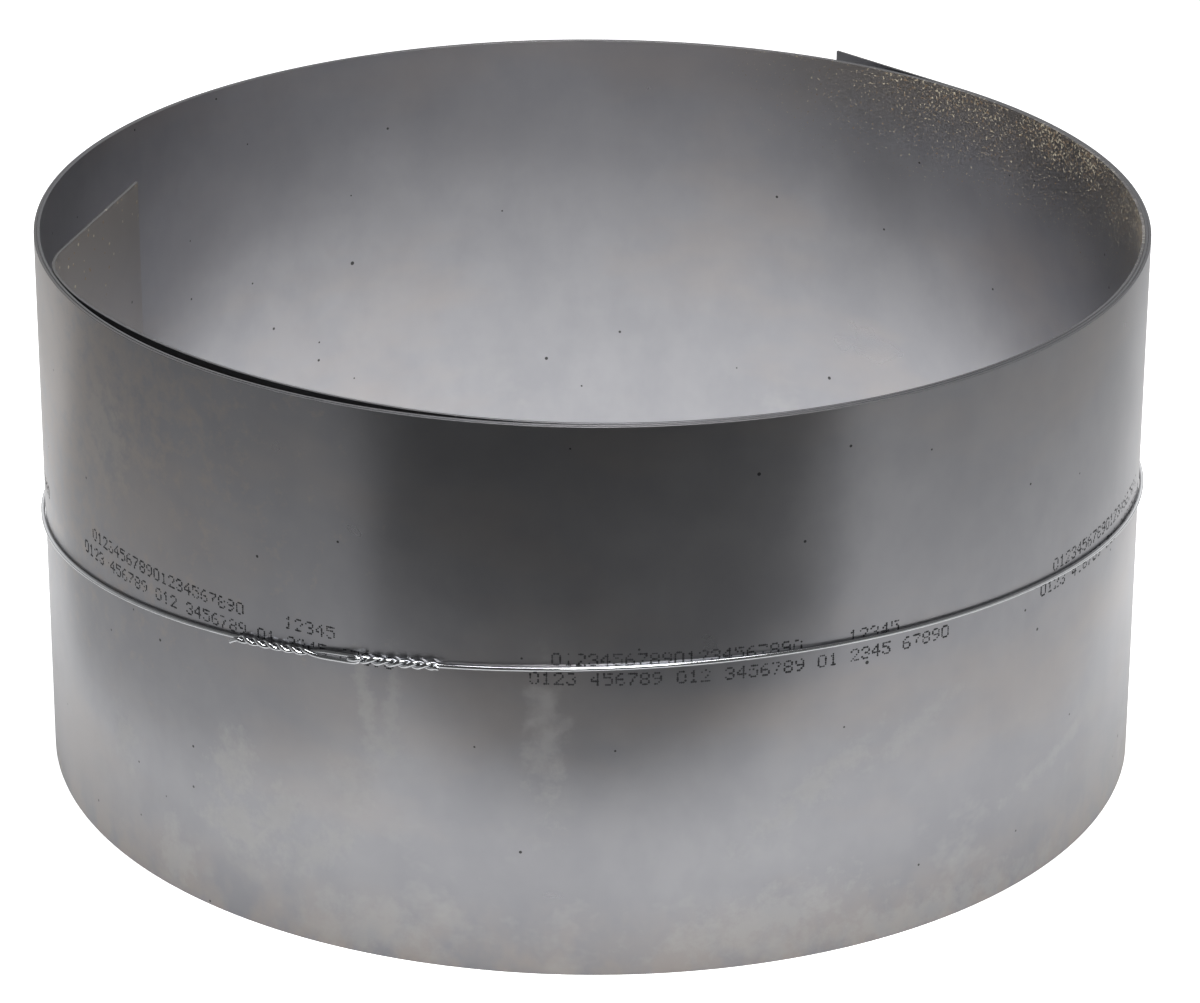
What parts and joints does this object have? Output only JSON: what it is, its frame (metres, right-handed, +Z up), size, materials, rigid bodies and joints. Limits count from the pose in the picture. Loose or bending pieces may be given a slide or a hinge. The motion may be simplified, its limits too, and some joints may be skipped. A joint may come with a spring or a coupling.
{
  "type": "coil of steel shim stock",
  "caption": "Strip of thin steel shim stock in a loose upright coil, tied round its middle with one twisted wire.",
  "frame": {"origin": "on the coil's axis, on the floor under its lower edge", "axes": "+Z up along the coil's axis, -Y towards the front where the wire is twisted, +X to the right as seen from the front"},
  "size_m": [0.305, 0.3031, 0.1524],
  "materials": {
    "strip_steel": "cold rolled, dull grey with a soft shine, lightly oiled and stained",
    "wire_zinc": "galvanised, bright"
  },
  "bodies": {
    "root": {"shim_strip": "strip_steel", "tie_wire": "wire_zinc"}
  },
  "joints": []
}
